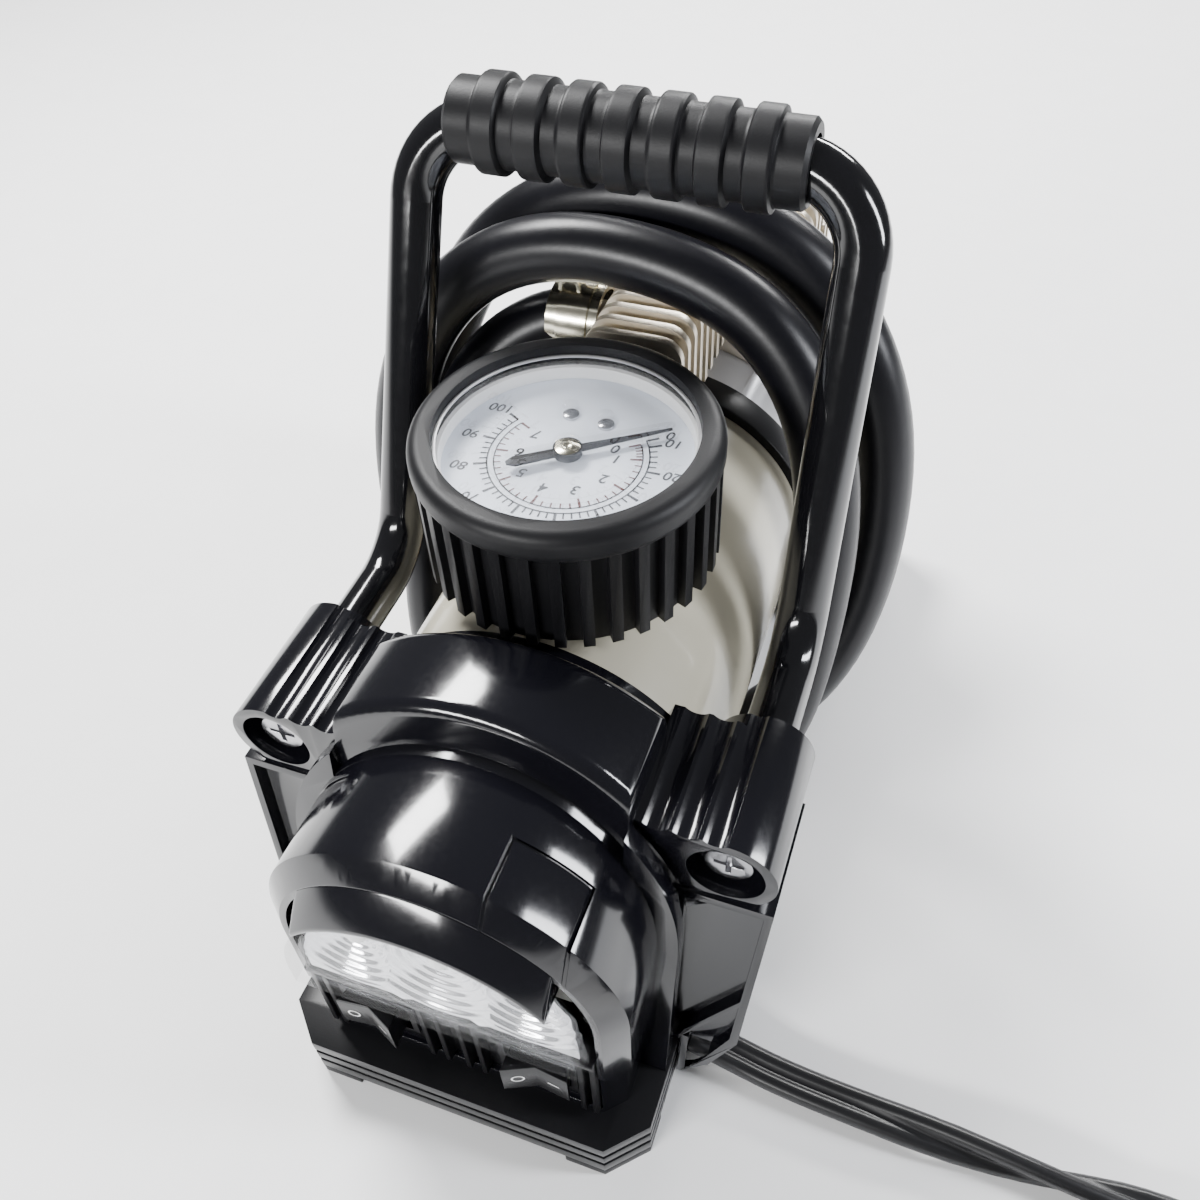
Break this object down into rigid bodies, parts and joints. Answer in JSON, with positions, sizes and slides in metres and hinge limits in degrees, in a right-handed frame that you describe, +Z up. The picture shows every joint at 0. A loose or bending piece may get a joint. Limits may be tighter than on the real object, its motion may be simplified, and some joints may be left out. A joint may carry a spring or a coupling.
{
  "type": "portable tire inflator",
  "caption": "Twelve-volt tyre inflator with lamp, top pressure gauge, carry handle, finned piston pump, wound air hose and plug-in power cord.",
  "frame": {"origin": "middle of the object's footprint at floor level, measured without the hose and the power cord", "axes": "+X to the right seen from the lamp end, +Y from the lamp end to the pump end, +Z up"},
  "size_m": [0.2854, 0.296, 0.1708],
  "materials": {
    "shell": "glossy moulded ABS",
    "tray": "satin moulded ABS",
    "rubber": "satin rubber",
    "hose": "smooth satin rubber",
    "cord": "soft PVC",
    "paint_black": "gloss powder coat",
    "paint_beige": "gloss enamel",
    "cast": "die cast, champagne tint",
    "steel": "machined",
    "screw": "plated",
    "ferrule": "pale zinc plate",
    "brass": "machined",
    "copper": "enamelled copper",
    "magnet": "ferrite",
    "clear": "clear polycarbonate",
    "reflector": "metallised",
    "board": "white solder mask",
    "dial": "printed white",
    "needle": "black lacquer",
    "carbon": "graphite",
    "ptfe": "filled PTFE",
    "liner": "cast"
  },
  "bodies": {
    "housing": {"air_hose_coil": "hose", "air_hose_lead": "hose", "air_hose_tail": "hose", "base_screws": "screw", "base_tray": "tray", "bourdon_tube": "brass", "brush_plate": "tray", "carbon_brushes": "carbon", "chuck_body": "brass", "cord_grommet": "rubber", "crankcase": "liner", "crankcase_cover": "liner", "cylinder": "cast", "cylinder_head": "cast", "front_shell": "shell", "gauge_boot": "rubber", "gauge_case": "steel", "gauge_dial": "dial", "gauge_lens": "clear", "gauge_pipe": "brass", "handle_grip": "rubber", "handle_screws": "screw", "handle_tube": "paint_black", "head_screws": "screw", "hose_ferrule": "ferrule", "lamp_brow": "shell", "lamp_led_board": "board", "lamp_lens": "clear", "lamp_reflector": "reflector", "lamp_switch_body": "tray", "motor_housing": "paint_beige", "motor_magnets": "magnet", "motor_rear_cap": "tray", "outlet_manifold": "cast", "plug_body": "tray", "plug_contacts": "steel", "power_cord": "cord", "power_cord_coil": "cord", "pump_switch_body": "tray", "rear_shell": "shell", "rear_stand": "tray", "reed_valve": "steel", "rubber_feet": "rubber", "shaft_bushes": "brass", "switch_panel": "tray", "valve_plate": "steel"},
    "rotor": {"motor_shaft": "steel", "armature_core": "steel", "armature_windings": "copper", "commutator": "copper", "cooling_fan": "tray", "crank_disc": "steel"},
    "piston": {"piston_rod": "liner", "rod_bearing": "steel", "piston_seal": "ptfe"},
    "needle": {"gauge_needle": "needle"},
    "pump_rocker": {"pump_switch_rocker": "tray"},
    "lamp_rocker": {"lamp_switch_rocker": "tray"},
    "lever": {"chuck_lever": "steel"},
    "tip": {"plug_tip": "screw"}
  },
  "joints": [
    {"name": "rotor_spin", "type": "hinge", "parent": "housing", "child": "rotor", "pos_m": [0, 0.048, 0.057], "axis": [0, 1, 0], "continuous": true},
    {"name": "piston_slide", "type": "slide", "parent": "housing", "child": "piston", "axis": [0, 0, 1], "range_m": [0, 0.018]},
    {"name": "needle_sweep", "type": "hinge", "parent": "housing", "child": "needle", "pos_m": [-0.001, -0.0149, 0.1195], "axis": [0, 0, -1], "range_deg": [0, 245], "stiffness_Nm_per_rad": 0.00001},
    {"name": "pump_rocker_tilt", "type": "hinge", "parent": "housing", "child": "pump_rocker", "pos_m": [0.0176, -0.0924, 0.0305], "axis": [0, 0, -1], "range_deg": [0, 18]},
    {"name": "lamp_rocker_tilt", "type": "hinge", "parent": "housing", "child": "lamp_rocker", "pos_m": [-0.0176, -0.0924, 0.0305], "axis": [0, 0, 1], "range_deg": [0, 18]},
    {"name": "chuck_lever_swing", "type": "hinge", "parent": "housing", "child": "lever", "pos_m": [-0.058, 0.0506, 0.016], "axis": [-1, 0, 0], "range_deg": [0, 80]},
    {"name": "plug_tip_press", "type": "slide", "parent": "housing", "child": "tip", "axis": [1, 0, 0], "range_m": [0, 0.003], "stiffness_N_per_m": 600}
  ]
}
